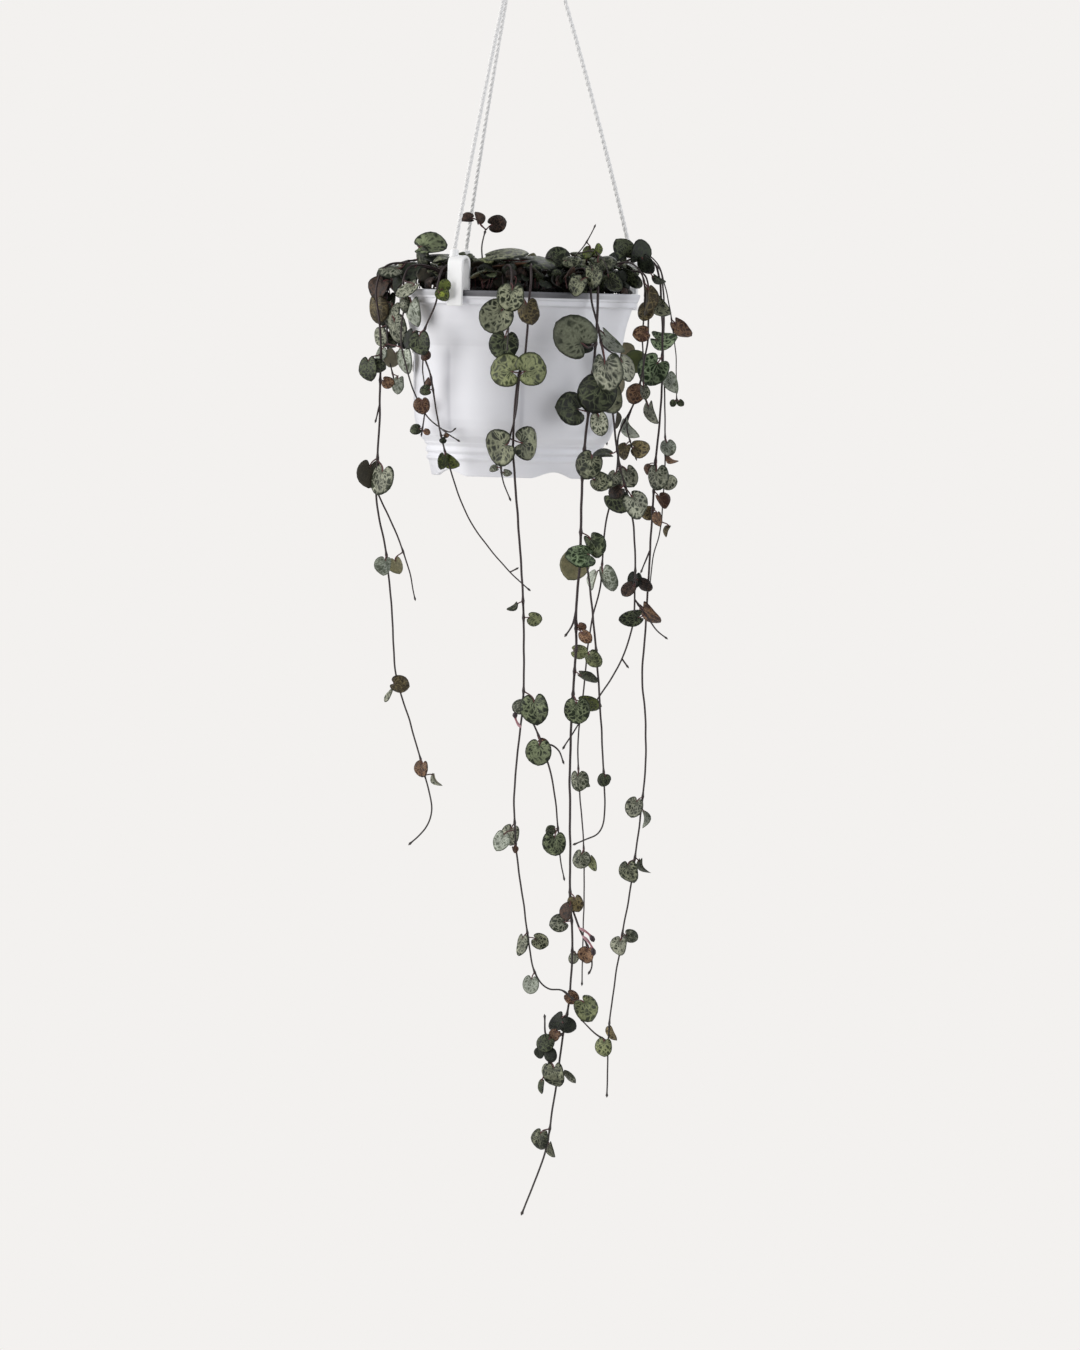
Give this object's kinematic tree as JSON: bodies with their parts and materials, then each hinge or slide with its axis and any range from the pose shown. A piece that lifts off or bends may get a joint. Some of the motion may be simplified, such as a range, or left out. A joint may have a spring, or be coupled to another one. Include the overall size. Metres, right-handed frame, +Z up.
{
  "type": "string of hearts in a hanging pot",
  "caption": "String of hearts, a trailing vine with marbled heart-shaped leaves, growing in a white fluted pot that hangs by twisted strands from a hook.",
  "frame": {"origin": "the point inside the hook's bow that bears on whatever holds the pot up", "axes": "+Z up along the line it hangs on, -Y towards the front, +X to the right seen from the front"},
  "size_m": [0.171, 0.1514, 0.6877],
  "materials": {
    "pot_plastic": "white moulded plastic, satin",
    "clip_plastic": "bright white moulded plastic",
    "strand": "white twisted cord",
    "potting_mix": "damp crumbly bark and peat",
    "leaf": "fleshy leaf, dark green with silver marbling above, olive to purple brown below, satin",
    "stem": "thin smooth stem, purple brown",
    "flower": "waxy flower, dusky pink with a dark tip"
  },
  "bodies": {
    "root": {"pot": "pot_plastic", "potting_mix": "potting_mix", "rim_clip_front_left": "clip_plastic", "rim_clip_back_left": "clip_plastic", "rim_clip_right": "clip_plastic", "hanger_strand_front_left": "strand", "hanger_strand_back_left": "strand", "hanger_strand_right": "strand", "hanging_hook": "clip_plastic", "vine_far_left": "leaf", "vine_left_inner": "leaf", "vine_left_sweeping": "leaf", "vine_centre": "leaf", "vine_right_stout": "leaf", "vine_right_looped": "leaf", "vine_right_thin": "leaf", "vine_right_outer": "leaf", "vine_right_lower": "leaf", "twig_right_tip": "leaf", "shoot_upright": "leaf", "shoot_left_crown": "leaf", "shoot_left_hanging": "leaf", "shoot_front_leaves": "leaf", "shoot_centre_crown": "leaf", "shoot_spiky": "leaf", "shoot_right_crown": "leaf", "shoot_right_hanging": "leaf", "crown_shoot_1": "leaf", "crown_shoot_2": "leaf", "crown_shoot_3": "leaf", "crown_shoot_4": "leaf", "crown_shoot_5": "leaf", "crown_shoot_6": "leaf", "crown_shoot_7": "leaf", "crown_shoot_8": "leaf", "crown_shoot_9": "leaf", "crown_shoot_10": "leaf", "crown_shoot_11": "leaf", "crown_shoot_12": "leaf", "crown_shoot_13": "leaf", "crown_shoot_14": "leaf", "crown_shoot_15": "leaf", "crown_shoot_16": "leaf", "crown_shoot_17": "leaf", "crown_shoot_18": "leaf", "crown_shoot_19": "leaf", "vine_back_1": "leaf", "vine_back_2": "leaf", "vine_back_3": "leaf", "vine_back_4": "leaf", "vine_back_5": "leaf"}
  },
  "joints": []
}
